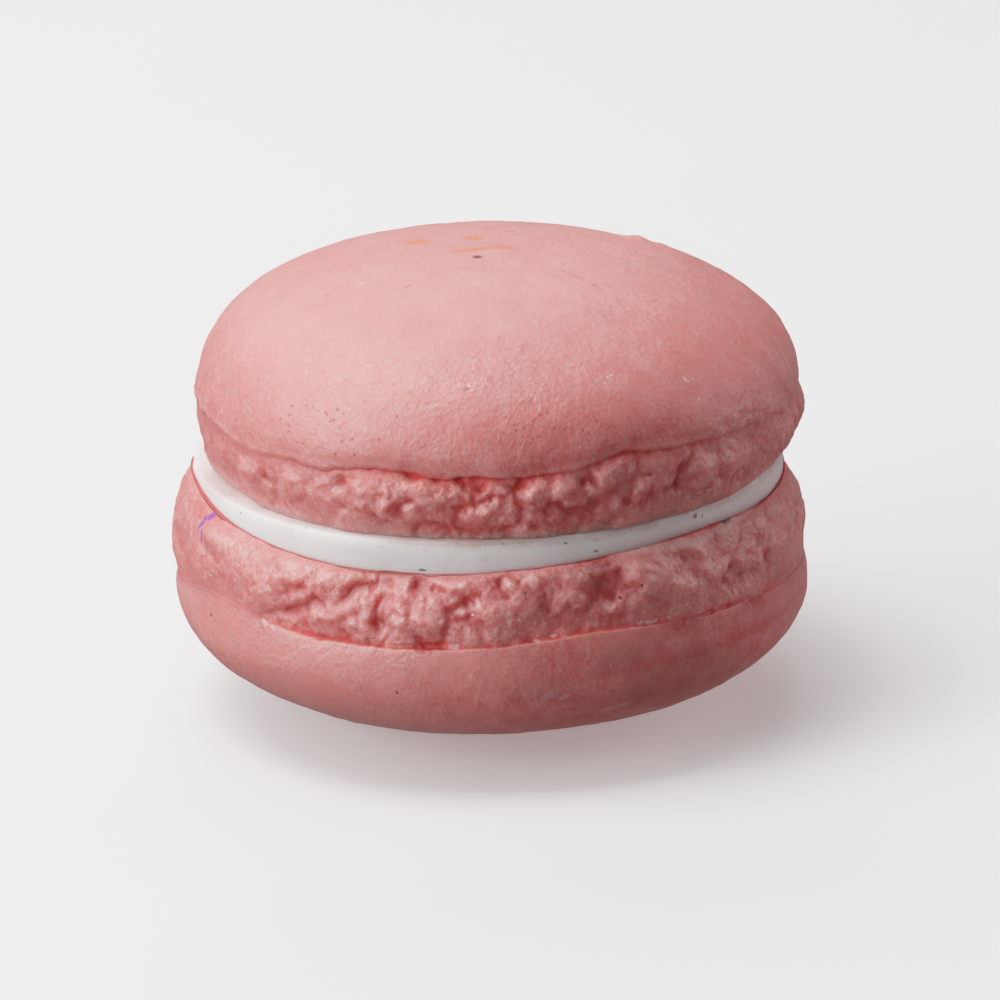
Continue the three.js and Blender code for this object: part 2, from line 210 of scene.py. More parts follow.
LOWER_MARKS = (
    (PURPLE, 0.85, (
        (-64.2, 20.1, 15.45, 0.42, 0.24, 28), (-66, 20.4, 14.9, 0.6, 0.18, 75),
        (-64.6, 20.5, 14.2, 0.45, 0.12, 115),
    )),
    (SLATE, 0.65, ((-62.6, 20.7, 13.85, 0.45, 0.1, 130), (-60.8, 20.7, 13.6, 0.4, 0.08, 160))),
    (BLACK, 0.85, (
        (49.3, 19.95, 15.42, 0.55, 0.17, -8), (27, 20.4, 13.3, 0.1, 0.14, 0),
        (-59.7, 21.1, 9.4, 0.13, 0.12, 0), (6, 20.4, 13.7, 0.12, 0.06, 35),
        (-17, 21.1, 7.3, 0.08, 0.08, 0), (-51.9, 20.9, 6.8, 0.08, 0.08, 0),
        (23.2, 20.5, 12.6, 0.09, 0.12, 0),
    )),
    (BROWN, 0.5, (
        (19.8, 20, 15.3, 0.35, 0.09, 5), (41, 20.5, 13.2, 0.15, 0.13, 0),
        (43, 20.5, 13.1, 0.12, 0.12, 0),
    )),
    # Painted shade: red along the hollows of the left foot's creases.
    (RED, 0.55, (
        (-37, 20.5, 11.9, 3.2, 0.13, 19), (-23, 20.4, 13.8, 2, 0.13, 26),
        (-19.5, 20.3, 12.7, 1.7, 0.1, 85), (-13, 20.9, 10.5, 2.5, 0.1, 2),
    )),
    (RED, 0.65, (
        (-40.7, 20.6, 10.75, 0.35, 0.25, 20), (-31.7, 20.9, 10.3, 0.4, 0.3, 0),
        (-12, 20.9, 10.1, 0.6, 0.15, 0),
    )),
    (WHITE, 0.9, ((-3.3, 20.3, 12.5, 0.1, 0.1, 0), (32.4, 20.8, 10.75, 0.06, 0.06, 0))),
    (WHITE, 0.45, (
        (-43.9, 21, 10.4, 0.35, 0.15, -20), (-41.8, 21, 10.2, 0.2, 0.1, -10),
        (-6.9, 21, 10.4, 0.35, 0.2, 10), (28, 20.8, 10.75, 0.25, 0.12, 0),
        (29.4, 20.8, 10.7, 0.3, 0.1, 12), (26.6, 20.9, 10.8, 0.25, 0.12, 0),
        (10.5, 21, 10.8, 0.3, 0.1, 8), (7.5, 21, 10.6, 0.2, 0.09, 5),
    )),
    # Painted sheen and highlights: soft white streaks on the bowl below the lip, and one on a lump of the
    # foot.
    (WHITE, 0.12, (
        (-38, 21.1, 9.6, 0.5, 0.1, 30), (-35.5, 21.1, 9.3, 0.9, 0.09, 35),
        (-32, 21.2, 9.5, 0.7, 0.12, 38), (-30.5, 21.2, 9.2, 0.9, 0.1, 42),
        (-27, 21.2, 9.1, 0.4, 0.09, 33), (-19, 21.2, 9.1, 0.5, 0.1, 35),
        (-16.5, 21.2, 9.3, 0.9, 0.12, 22), (-3, 21, 7.3, 0.8, 0.14, 75),
        (-1.5, 21, 7, 0.4, 0.1, 65), (20.6, 20.5, 12.3, 0.25, 0.25, 0),
    )),
    # Pale strips along the top of the ledge at the right.
    (WHITE, 0.25, ((33, 20.1, 15.25, 3.6, 0.3, -4), (52, 20.1, 15.2, 3.4, 0.28, 3))),
    (WHITE, 0.16, (
        (9.8, 21, 7, 0.5, 0.35, 30), (12, 21, 6.7, 0.35, 0.2, 20), (22.2, 20, 5.1, 1.3, 0.3, 15),
        (30, 18.6, 3.8, 1.2, 0.25, 20),
    )),
    (GREY, 0.12, ((8, 21.1, 7.3, 2.4, 1.2, 0), (22, 21.2, 8.7, 2, 0.9, 10))),
    # Painted shade: a broad brown patch darkens the bowl's right side.
    (BROWN, 0.3, ((36, 20.6, 6.2, 5.5, 2.6, 0),)),
)
FILLING_MARKS = (
    (BLACK, 0.8, (
        (-12.6, 19.5, 15, 0.25, 0.07, 5), (-54.7, 19.4, 16.5, 0.08, 0.08, 0),
        (19.8, 19.55, 15.6, 0.2, 0.06, 10),
    )),
    (OLIVE, 0.85, (
        (42.1, 19.4, 16.35, 0.17, 0.12, 20), (44, 19.45, 16.2, 0.07, 0.1, 0),
        (14, 19.5, 16.4, 0.1, 0.08, 0),
    )),
    # Brown: painted shade on the filling's top where it tucks under the upper shell at the left, a line of
    # dust and painted shade along its top edge at the front, and two specks.
    (BROWN, 0.25, (
        (-70, 18.75, 16.75, 3.4, 0.5, 0), (-5, 19.3, 16.75, 7, 0.16, 0),
        (-20, 19.4, 16.45, 0.12, 0.1, 0), (20, 19.5, 16.35, 0.3, 0.1, 0),
    )),
    (GREY, 0.07, (
        (-8, 19.6, 15.5, 0.6, 0.12, 70), (-5, 19.6, 15.5, 0.5, 0.1, 60),
        (-1, 19.6, 15.8, 0.4, 0.2, 0),
    )),
)
# Parts of the dome that carry more small brown dots: the same six values.
DOTTED = ((-31, 19.2, 23.6, 8.0, 2.3, 0), (68, 19.7, 22.6, 3.5, 1.8, 0), (10, 19.2, 24.2, 9.0, 1.2, 0))

# ---------------- seeded noise


def hash_cells(i, j, k, seed):
    """A whole-number hash of lattice points, from 0 to 1, as the solids use."""
    i, j, k = (v.astype(np.int64).astype(np.uint32) for v in (i, j, k))
    with np.errstate(over="ignore"):
        h = i * np.uint32(374761393) + j * np.uint32(668265263)
        h = h + k * np.uint32(1274126177) + np.uint32(seed * 144269504 % 2**32)
        h = (h ^ (h >> np.uint32(13))) * np.uint32(1274126177)
    return (h ^ (h >> np.uint32(16))) / 2.0**32


def noise(points, size, seed):
    """Smooth value noise from -1 to 1, with lumps about as large as size."""
    q = points / size
    low = np.floor(q)
    u, v, w = (lambda t: t * t * (3 - 2 * t))(q - low).T
    i, j, k = low.T
    total = 0
    for di, wi in ((0, 1 - u), (1, u)):
        for dj, wj in ((0, 1 - v), (1, v)):
            for dk, wk in ((0, 1 - w), (1, w)):
                total = total + wi * wj * wk * hash_cells(i + di, j + dj, k + dk, seed)
    return 2 * total - 1


def layered(points, layers):
    """The sum of some layers of noise: rise, size and seed."""
    return sum(rise * noise(points, size, seed) for rise, size, seed in layers)


def pebbles(points, size, seed):
    """Pebbles packed together: how far each point is from the nearest seam and from the middle of its
    own pebble, in mm, and the pebble's own draw from 0 to 1."""
    q = points / size
    low = np.floor(q)
    near, next_near = np.full((2, len(q), 3), 9.0)
    first, second = np.full((2, len(q)), 99.0)
    own = np.zeros(len(q))
    for di in (-1, 0, 1):
        for dj in (-1, 0, 1):
            for dk in (-1, 0, 1):
                i, j, k = (low + (di, dj, dk)).T
                draw = [hash_cells(i, j, k, seed + n) for n in range(4)]
                to = np.stack([i + draw[0], j + draw[1], k + draw[2]], 1) - q
                d = (to * to).sum(1)
                closest = d < first
                runner_up = ~closest & (d < second)
                next_near = np.where(closest[:, None], near, np.where(runner_up[:, None], to, next_near))
                second = np.where(closest, first, np.where(runner_up, d, second))
                near = np.where(closest[:, None], to, near)
                first = np.where(closest, d, first)
                own = np.where(closest, draw[3], own)
    seam = (second - first) / np.maximum(2 * np.linalg.norm(next_near - near, axis=1), 1e-6)
    return seam * size, np.sqrt(first) * size, own


def warp(points, size, seed):
    """Points pushed about by noise, so that what is drawn on them gets ragged outlines."""
    push = np.stack([noise(points, size, seed + n) for n in range(3)], 1)
    return points + 0.35 * size * push


# ---------------- relief


def smooth_step(low, high, value):
    t = np.clip((value - low) / (high - low), 0, 1)
    return t * t * (3 - 2 * t)


def turn_between(start, end):
    """The shorter way round from one bearing to another."""
    return (end - start + 180) % 360 - 180


def wave(waves, bearing):
    """The sum of some waves at each bearing."""
    return sum(rise * np.exp(-((turn_between(at, bearing) / width) ** 2)) for at, width, rise in waves)


def crag_relief(crags, bearing, height, radius):
    """How far the crags lift or sink the foot at each point."""
    total = np.zeros(len(bearing))
    for at, level, length, width, turn, rise in crags:
        across = np.radians(turn_between(at, bearing)) * radius
        up = height - level
        c, s = math.cos(math.radians(turn)), math.sin(math.radians(turn))
        q = ((across * c + up * s) / length) ** 2 + ((up * c - across * s) / width) ** 2
        total += rise * np.maximum(0, 1 - q / 1.2) ** 1.6
    return total


def spread_crags(low, high, seed):
    """Crags for the sides and the back of a foot, alternately hollows and lumps."""
    crags = []
    for n in range(SPREAD_COUNT):
        draw = [float(hash_cells(*np.array([[n], [use], [0]]), seed)[0]) for use in range(5)]
        length = SPREAD_SHORTEST + (SPREAD_LONGEST - SPREAD_SHORTEST) * draw[1]
        crags.append((
            SPREAD_FROM + (SPREAD_TO - SPREAD_FROM) * (n + draw[2]) / SPREAD_COUNT,
            low + (high - low) * draw[3],
            length,
            max(length * SPREAD_SLIMNESS, 0.6),
            SPREAD_TURN * (draw[4] - 0.5),
            SPREAD_RISE * 0.5 if n % 2 else -SPREAD_RISE,
        ))
    return tuple(crags)


def bearings(columns):
    return 360 * np.arange(columns) / columns


def lean(tilt, radius, bearing):
    return radius * np.sin(np.radians(bearing)) * math.tan(math.radians(tilt))


def ring_points(radius, bearing, height):
    angle = np.radians(bearing)
    return np.stack(np.broadcast_arrays(radius * np.sin(angle), -radius * np.cos(angle), height), 1)


def filling_reach(bearing, height):
    """The radius of the filling's rounded edge at each bearing and height."""
    level = np.clip(2 * (height - SEAT_HEIGHT) / (LID_HEIGHT - SEAT_HEIGHT) - 1, -1, 1)
    face = FILLING_FACE + 0.25 * (level < 0)
    reach = face + (FILLING_EDGE - face) * (1 - level**2) ** 0.3
    wander = noise(ring_points(reach, bearing, 0), SWELL_SIZE, SWELL_SEED)
    return reach - FILLING_WANDER * 0.5 * (1 + wander)


def swell(radius, bearing, height):
    return -SWELL_RELIEF * 0.5 * (1 + noise(ring_points(radius, bearing, height), SWELL_SIZE, SWELL_SEED))


# ---------------- meshes from rings


class Rings:
    """Rings of points round the vertical axis, from the bottom pole to the top one."""

    def __init__(self, shift=0.0):
        self.shift = shift
        self.rings = []

    def add(self, columns, radius, height, crag=0.0, seam=0.0):
        """One ring. Radius, height, crag weight and redness, the red and painted shade of crevices, are
        numbers or one value for each column.
        """
        bearing = bearings(columns)
        radius, height, crag, seam = (
            np.broadcast_to(v, columns).astype(float) for v in (radius, height, crag, seam)
        )
        points = ring_points(radius, bearing, height) + (self.shift, 0, 0)
        self.rings.append((points, bearing, crag, seam))

    def close(self):
        """A pole at the height of the last ring."""
        self.add(1, 0, self.rings[-1][0][:, 2].mean())

    def stitched(self):
        """Points, bearings, crag weights, redness, quads and triangles of the closed surface."""
        quads, triangles = [], []
        counts = [len(bearing) for _, bearing, _, _ in self.rings]
        start = 0
        for n, m in zip(counts, counts[1:]):
            a, b = start, start + n
            if n == m:
                j = np.arange(n)
                k = (j + 1) % n
                quads.append(np.stack([a + j, a + k, b + k, b + j], 1))
            elif n == 1 or m == 1:
                j = np.arange(max(n, m))
                k = (j + 1) % len(j)
                tip = np.full(len(j), a if n == 1 else b)
                edge = (b + k, b + j) if n == 1 else (a + j, a + k)
                triangles.append(np.stack([tip, *edge], 1))
            else:
                triangles += self.halved(a, n, b, m)
            start += n
        return [np.concatenate(v) for v in (*zip(*self.rings), quads, triangles)]

    @staticmethod
    def halved(a, n, b, m):
        """Triangles between a ring and one with half or twice as many columns."""
        small = min(n, m)
        j = np.arange(small)
        k = (j + 1) % small
        one, two, three = 2 * j, 2 * j + 1, (2 * j + 2) % (2 * small)
        if n > m:
            corners = (a + one, a + two, b + j), (a + two, b + k, b + j), (a + two, a + three, b + k)
        else:
            corners = (a + j, b + two, b + one), (a + j, a + k, b + two), (a + k, b + three, b + two)
        return [np.stack(t, 1) for t in corners]


def split_quads(points, quads):
    """Two triangles for each quad, along its shorter diagonal."""
    p = points[quads]
    first = ((p[:, 0] - p[:, 2]) ** 2).sum(1) < ((p[:, 1] - p[:, 3]) ** 2).sum(1)
    a = np.where(first[:, None], quads[:, [0, 1, 2]], quads[:, [0, 1, 3]])
    b = np.where(first[:, None], quads[:, [0, 2, 3]], quads[:, [1, 2, 3]])
    return np.concatenate([a, b])


def normals_of(points, faces):
    p = points[faces]
    face = np.cross(p[:, 1] - p[:, 0], p[:, 2] - p[:, 0])
    total = np.stack([
        sum(np.bincount(faces[:, c], face[:, axis], len(points)) for c in range(3)) for axis in range(3)
    ], 1)
    return total / np.maximum(np.linalg.norm(total, axis=1, keepdims=True), 1e-12)


def smoothed(values, faces, rounds):
    """Values averaged over their neighbours, some rounds over."""
    values = values.reshape(len(values), -1)
    count = sum(np.bincount(faces[:, c], minlength=len(values)) for c in range(3)) * 3.0
    for _ in range(rounds):
        around = values[faces].sum(1)
        values = np.stack([
            sum(np.bincount(faces[:, c], around[:, axis], len(values)) for c in range(3)) / count
            for axis in range(values.shape[1])
        ], 1)
    return values


# ---------------- crumb of a foot


def conglomerate(points):
    """Worn lumps with narrow creases between them, and crumbs on the lumps: relief and creases."""
    relief = UNDULATION_RELIEF * noise(points, UNDULATION_SIZE, 31)
    crease = np.zeros(len(points))
    for size, step, crown, cut, width, seed in LUMPS:
        ragged = warp(warp(points, size, seed + 10), size / 3, seed + 15)
        seam, middle, own = pebbles(ragged, size, seed)
        opened = smooth_step(-0.2, 0.45, noise(points, 1.7 * size, seed + 20))
        groove = opened * np.exp(-((seam / width) ** 2))
        relief += step * (own - 0.5) + crown * (0.4 - (middle / size) ** 2) - cut * groove
        crease += cut * groove
    return relief, crease


def roughen(points, bearing, crag, faces, crags, roughness, shift):
    """Gives a shell's foot its crags, lumps and crumbs. Returns how deep and how creased it is."""
    axis = np.array([shift, 0.0, 0.0])
    foot = np.flatnonzero(crag > 0)
    strong = crag[foot]
    local = points[foot] - axis
    radius = np.hypot(local[:, 0], local[:, 1])
    around = bearing[foot] + np.degrees(layered(local, CRAG_WANDER) / radius)
    relief = crag_relief(crags, around, local[:, 2] + layered(local, CRAG_DRIFT), radius)
    relief = CRAG_DEPTH * relief + CRUMB_RELIEF * noise(local, CRUMB_SIZE, CRUMB_SEED)
    lumpy, crease = conglomerate(local)
    rough = wave(roughness, bearing[foot])
    relief = np.clip(relief + rough * lumpy, DEEPEST, PROUDEST)

    field = np.zeros((len(points), 2))
    field[foot, 0] = strong * relief
    field[foot, 1] = strong * rough * crease
    field = smoothed(field, faces, FIELD_SMOOTHING)
    field[crag == 0] = 0
    outward = (points - axis) * (1, 1, 0)
    outward /= np.maximum(np.linalg.norm(outward, axis=1, keepdims=True), 1e-9)
    points += outward * field[:, :1]

    # Crumbs and grains stand on the surface that the lumps leave.
    normals = smoothed(normals_of(points, faces), faces, 2)[foot]
    for size, rise, seed in GRAINS:
        points[foot] += normals * (rise * strong * rough * noise(points[foot], size, seed))[:, None]
    return field[:, 0], field[:, 1]


def place(name, data):
    made = bpy.data.objects.new(name, data)
    bpy.context.scene.collection.objects.link(made)
    return made


def make_object(name, points, faces, attributes, material):
    mesh = bpy.data.meshes.new(name)
    mesh.vertices.add(len(points))
    mesh.vertices.foreach_set("co", (points * MM).astype(np.float32).ravel())
    mesh.loops.add(3 * len(faces))
    mesh.loops.foreach_set("vertex_index", faces.astype(np.int32).ravel())
    mesh.polygons.add(len(faces))
    mesh.polygons.foreach_set("loop_start", np.arange(0, 3 * len(faces), 3, dtype=np.int32))
    mesh.update(calc_edges=True)
    mesh.polygons.foreach_set("use_smooth", np.ones(len(faces), dtype=bool))
    for key, values in attributes.items():
        layer = mesh.attributes.new(key, "FLOAT", "POINT")
        layer.data.foreach_set("value", values.astype(np.float32))
    mesh.validate()
    mesh.materials.append(material)
    return place(name, mesh)


def superellipse(radius, rise, power, angle):
    return radius * math.cos(angle) ** (2 / power), rise * math.sin(angle) ** (2 / power)


# ---------------- materials

# How deep a mark reaches, and what makes its outline ragged: lumps to the millimetre and push.
MARK_REACH, RAGGED_SCALE, RAGGED_PUSH = 0.9, 3.0, 0.3
SMOOTH_ABOVE, GRAINY_BELOW = 29.5, 26.5
# Painted shade: where the skins are painted ruddier, low down and to the right, from and to: going down,
# to the right, ending at the right.
PAINTED_SHADE_HEIGHT, PAINTED_SHADE_ACROSS, PAINTED_SHADE_END = (26.5 * MM, 21.5 * MM), (-9 * MM, 4 * MM), (22 * MM, 17 * MM)
# The painted shade on the bowl grows going down, from and to.
BOWL_SHADE_HEIGHT = (12 * MM, 9 * MM)
# Brown dust and painted shade on the filling's top under the upper shell: colour, the heights it fades
# between, and where along X it comes in.
DUST_AND_SHADE, DUST_LOW, DUST_HIGH, DUST_FROM = (0.38, 0.23, 0.16, 1), 16.15, 16.7, -9.0


def mark_frame(bearing, radius, height, turn):
    """The middle of a mark in mm, and its axes: along its length, across it, and out of the surface."""
    angle = math.radians(bearing)
    middle = Vector((radius * math.sin(angle), -radius * math.cos(angle), height))
    above = max(0, height - DOME_EQUATOR) / DOME_HEIGHT**2
    below = max(0, BOWL_EQUATOR - height) / BOWL_DEPTH**2
    out = Vector((middle.x / DOME_RADIUS**2, middle.y / DOME_RADIUS**2, above - below)).normalized()
    across = Vector((math.cos(angle), math.sin(angle), 0))
    up = out.cross(across)
    along = across * math.cos(math.radians(turn)) + up * math.sin(math.radians(turn))
    return middle, Matrix((along, out.cross(along), out)).transposed()


class Tree:
    """A node tree, built node by node. Inputs are sockets or plain values."""

    def __init__(self, owner, shader):
        owner.use_nodes = True
        self.nodes = owner.node_tree.nodes
        self.links = owner.node_tree.links
        self.shader = self.nodes[shader]

    def node(self, kind, inputs=(), **settings):
        made = self.nodes.new(kind)
        for key, value in settings.items():
            setattr(made, key, value)
        for key, value in dict(inputs).items():
            self.plug(made.inputs[key], value)
        return made

    def plug(self, socket, value):
        if isinstance(value, bpy.types.NodeSocket):
            self.links.new(value, socket)
        else:
            socket.default_value = value

    def shade(self, inputs):
        for key, value in inputs.items():
            self.plug(self.shader.inputs[key], value)

    def ramp(self, value, low, high):
        """The value stretched from low..high to 0..1."""
        inputs = {"Value": value, "From Min": low, "From Max": high}
        return self.node("ShaderNodeMapRange", inputs, clamp=True).outputs["Result"]

    def mix(self, share, first, second):
        inputs = {0: share, 6: first, 7: second}
        return self.node("ShaderNodeMix", inputs, data_type="RGBA").outputs[2]

    def split(self, vector):
        return self.node("ShaderNodeSeparateXYZ", {"Vector": vector}).outputs


class Paint(Tree):
    """A material's nodes, on the object's own coordinates."""

    def __init__(self, name):
        self.material = bpy.data.materials.new(name)
        super().__init__(self.material, "Principled BSDF")
        self.place = self.node("ShaderNodeTexCoord").outputs["Object"]
        inputs = {"Vector": self.place, "Scale": RAGGED_SCALE / MM}
        push = self.node("ShaderNodeTexNoise", inputs).outputs["Color"]
        inputs = {
            "Vector": push,
            "Location": (-RAGGED_PUSH / 2 * MM,) * 3,
            "Scale": (RAGGED_PUSH * MM,) * 3,
        }
        push = self.node("ShaderNodeMapping", inputs).outputs[0]
        self.ragged = self.node("ShaderNodeVectorMath", {0: self.place, 1: push}).outputs[0]

    def attribute(self, name):
        return self.node("ShaderNodeAttribute", attribute_name=name).outputs["Fac"]

    def math(self, operation, first, second):
        return self.node("ShaderNodeMath", {0: first, 1: second}, operation=operation).outputs[0]

    def times(self, first, second):
        return self.math("MULTIPLY", first, second)

    def plus(self, first, second):
        return self.math("ADD", first, second)

    def most(self, first, second):
        return self.math("MAXIMUM", first, second)

    def rest(self, value, whole=1.0):
        return self.math("SUBTRACT", whole, value)

    def noise(self, scale, detail=3.0, roughness=0.55):
        """Noise on the object's own coordinates, with scale in lumps to the millimetre."""
        inputs = {"Vector": self.place, "Scale": scale / MM, "Detail": detail, "Roughness": roughness}
        return self.node("ShaderNodeTexNoise", inputs).outputs["Fac"]

    def dots(self, scale, radius, share):
        """Small scattered dots: scale in cells to the millimetre, radius in mm, share of cells used."""
        cells = self.node("ShaderNodeTexVoronoi", {"Vector": self.place, "Scale": scale / MM}).outputs
        dot = self.ramp(cells["Distance"], 1.5 * radius * scale, 0.6 * radius * scale)
        return self.times(dot, self.math("LESS_THAN", self.split(cells["Color"])["X"], share))

    def marked(self, marks, shift):
        """1 within the marks and 0 away from them, with ragged edges."""
        total = 0.0
        for bearing, radius, height, length, width, turn in marks:
            middle, axes = mark_frame(bearing, radius, height, turn)
            place = self.node("ShaderNodeMapping", {
                "Vector": self.ragged,
                "Location": (middle + Vector((shift, 0, 0))) * MM,
                "Rotation": axes.to_euler("XYZ"),
                "Scale": (length * MM, width * MM, MARK_REACH * MM),
            }, vector_type="TEXTURE").outputs[0]
            away = self.node("ShaderNodeVectorMath", {0: place}, operation="LENGTH").outputs["Value"]
            total = self.most(total, self.ramp(away, 1.25, 0.7))
        return total

    def bump(self, height, strength, distance, normal=None):
        inputs = {"Height": height, "Strength": strength, "Distance": distance * MM}
        if normal is not None:
            inputs["Normal"] = normal
        return self.node("ShaderNodeBump", inputs).outputs["Normal"]


def shell_material(name, marks, shift):
    """Waxy pink almond crust with fine grain: proud crumbs painted paler as painted light, creases painted
    deep red as painted shade.
    """
    t = Paint(name)
    pink = (0.77, 0.225, 0.21, 1)
    pale = (0.79, 0.27, 0.25, 1)
    rosy = (0.74, 0.19, 0.175, 1)
    painted_shade_red = (0.62, 0.07, 0.075, 1)
    red_foot = (0.72, 0.14, 0.13, 1)
    painted_light_pale = (0.78, 0.27, 0.25, 1)
    rusty = (0.62, 0.1, 0.08, 1)
    deep = (0.6, 0.045, 0.04, 1)
    foot = t.attribute("foot")
    cavity = t.attribute("cavity")
    depth = t.attribute("depth")
    seam = t.attribute("seam")
    split = t.split(t.place)

    # Slow and fine mottling, stronger on the feet. Painted shade: the skins are painted ruddier low down
    # and to the right, on the side away from the key light.
    colour = t.mix(t.ramp(t.noise(0.35, 4.0), 0.35, 0.65), pink, rosy)
    painted_shade_low_right = t.times(t.ramp(split["Z"], *PAINTED_SHADE_HEIGHT), t.ramp(split["X"], *PAINTED_SHADE_ACROSS))
    painted_shade_low_right = t.times(painted_shade_low_right, t.ramp(split["X"], *PAINTED_SHADE_END))
    painted_shade_low_right = t.times(painted_shade_low_right, t.rest(foot))
    bowl = t.plus(0.75, t.times(t.ramp(split["Z"], *BOWL_SHADE_HEIGHT), 0.25))
    colour = t.mix(t.times(painted_shade_low_right, bowl), colour, painted_shade_red)
    colour = t.mix(t.times(foot, 0.55), colour, red_foot)
    fine = t.ramp(t.noise(2.2, 3.0), 0.4, 0.62)
    crumbly = t.plus(t.times(foot, 0.4), 0.3)
    colour = t.mix(t.times(fine, crumbly), colour, pale)
    # Painted light: convex parts and proud lumps are painted paler.
    colour = t.mix(t.ramp(cavity, -0.01, -0.07), colour, pale)
    colour = t.mix(t.ramp(depth, 0.0, 0.4), colour, painted_light_pale)

    # Fine grain of the skin: painted glints, which are white painted highlights, and rosy pores, least on
    # the top of the dome.
    grainy = t.ramp(split["Z"], SMOOTH_ABOVE * MM, GRAINY_BELOW * MM)
    grainy = t.times(grainy, t.ramp(t.noise(0.25, 3.0), 0.3, 0.6))
    grainy = t.plus(t.times(grainy, 0.75), 0.25)
    painted_glints = t.times(t.ramp(t.noise(5.0, 2.0, 0.7), 0.46, 0.72), grainy)
    colour = t.mix(t.times(painted_glints, 0.14), colour, WHITE)
    # Painted highlights: small white glint dots.
    points = t.times(t.dots(2.6, 0.05, 0.4), t.times(grainy, 0.32))
    colour = t.mix(points, colour, WHITE)
    pores = t.times(t.ramp(t.noise(3.6, 3.0, 0.7), 0.48, 0.32), grainy)
    colour = t.mix(t.times(pores, 0.5), colour, rusty)

    # Painted shade: creases, hollows and the crevices along the seams are painted deep red; small random
    # pits are deep red too.
    pits = t.plus(t.ramp(t.noise(2.6, 2.0), 0.56, 0.68), t.ramp(t.noise(1.1, 2.0), 0.52, 0.7))
    pits = t.times(pits, foot)
    sunk = t.plus(t.ramp(cavity, 0.02, 0.12), t.ramp(t.attribute("crease"), 0.03, 0.24))
    sunk = t.plus(sunk, t.ramp(depth, -0.05, -0.8))
    sunk = t.plus(sunk, t.times(pits, 0.5))
    sunk = t.plus(sunk, seam)
    colour = t.mix(t.ramp(sunk, 0.0, 1.2), colour, deep)

    # Painted highlights as pale flecks on the crumbs, and a few small dots and marks anywhere.
    painted_crumb_highlights = t.times(t.ramp(t.noise(5.0, 2.0), 0.5, 0.72), t.ramp(t.noise(0.9, 3.0), 0.4, 0.62))
    painted_crumb_highlights = t.times(t.times(painted_crumb_highlights, t.ramp(sunk, 0.8, 0.1)), foot)
    colour = t.mix(t.times(painted_crumb_highlights, 0.4), colour, WHITE)
    colour = t.mix(t.times(t.dots(1.2, 0.05, 0.2), 0.35), colour, WHITE)
    colour = t.mix(t.times(t.dots(1.0, 0.05, 0.35), 0.6), colour, RUST)
    dense = t.times(t.dots(1.9, 0.08, 0.75), t.marked(DOTTED, UPPER_SHIFT))
    colour = t.mix(t.times(dense, 0.85), colour, RUST)
    stained = t.times(dense, 0.6)
    for paint, strength, places in marks:
        cover = t.times(t.marked(places, shift), strength)
        colour = t.mix(cover, colour, paint)
        if paint in DIRT:
            stained = t.most(stained, cover)

    # Light spreads under the crust, but not in the thin collar or under dirt, which are duller too.
    thin = t.most(t.ramp(seam, 0.0, 0.05), stained)
    dull = t.most(stained, t.times(t.most(thin, painted_shade_low_right), 0.6))
    rough = t.plus(t.times(fine, 0.12), 0.52)
    coarse = t.plus(t.times(t.most(foot, grainy), 0.5), 0.4)
    grain = t.bump(t.times(t.noise(2.4, 3.0, 0.6), coarse), 0.45, 0.28)
    coat = t.plus(t.times(t.most(foot, grainy), 0.2), 0.17)
    coat = t.times(coat, t.rest(dull))
    t.shade({
        "Base Color": colour,
        "Subsurface Weight": t.times(t.rest(thin), 0.8),
        "Subsurface Radius": (1.0, 0.16, 0.12),
        "Subsurface Scale": 2.6 * MM,
        "IOR": 1.65,
        "Specular IOR Level": t.rest(dull, 0.95),
        "Roughness": rough,
        "Normal": t.bump(t.noise(1.2, 2.0), 0.2, 0.12, grain),
        "Coat Weight": coat,
        "Coat Roughness": 0.2,
        "Coat Normal": t.bump(t.noise(4.5, 2.0, 0.6), 0.6, 0.13, grain),
    })
    return t.material


def filling_material():
    """Smooth off-white cream with a soft sheen."""
    t = Paint("white_cream")
    cloud = t.ramp(t.noise(0.3, 3.0), 0.4, 0.65)
    colour = t.mix(cloud, (0.93, 0.89, 0.88, 1), (0.88, 0.83, 0.83, 1))

    # A line of brown dust and painted shade under the upper shell, from the front round to the right.
    split = t.split(t.ragged)
    high = t.ramp(split["Z"], DUST_LOW * MM, DUST_HIGH * MM)
    dust_and_shade = t.times(high, t.ramp(split["X"], DUST_FROM * MM, 0.0))
    dust_and_shade = t.times(dust_and_shade, t.ramp(t.noise(0.5, 4.0), 0.2, 0.6))
    colour = t.mix(t.times(dust_and_shade, 0.6), colour, DUST_AND_SHADE)
    specks = t.times(t.dots(2.4, 0.06, 0.35), high)
    colour = t.mix(t.times(specks, 0.7), colour, BROWN)
    for paint, strength, places in FILLING_MARKS:
        colour = t.mix(t.times(t.marked(places, 0), strength), colour, paint)
    t.shade({
        "Base Color": colour,
        "Subsurface Weight": 0.35,
        "Subsurface Radius": (1.6, 0.8, 0.8),
        "Subsurface Scale": 0.8 * MM,
        "Roughness": 0.42,
        "Normal": t.bump(t.noise(0.8, 2.0), 0.15, 0.2),
    })
    return t.material


def floor_material():
    t = Paint("studio_paper")
    t.shade({
        "Base Color": t.mix(t.noise(0.02), (0.82, 0.82, 0.82, 1), (0.86, 0.86, 0.86, 1)),
        "Roughness": 0.85,
        "Emission Color": (1, 1, 1, 1),
        "Emission Strength": 0.25,
    })
    return t.material


# ---------------- pieces

# Where the seam between the collar and the filling is open and painted deep red as shade, its depth, and
# the gap elsewhere.
SEAM, SEAM_DEPTH, COLLAR_GAP = ((46, 32, 1.3), (-165, 45, 0.7)), 0.2, 0.02
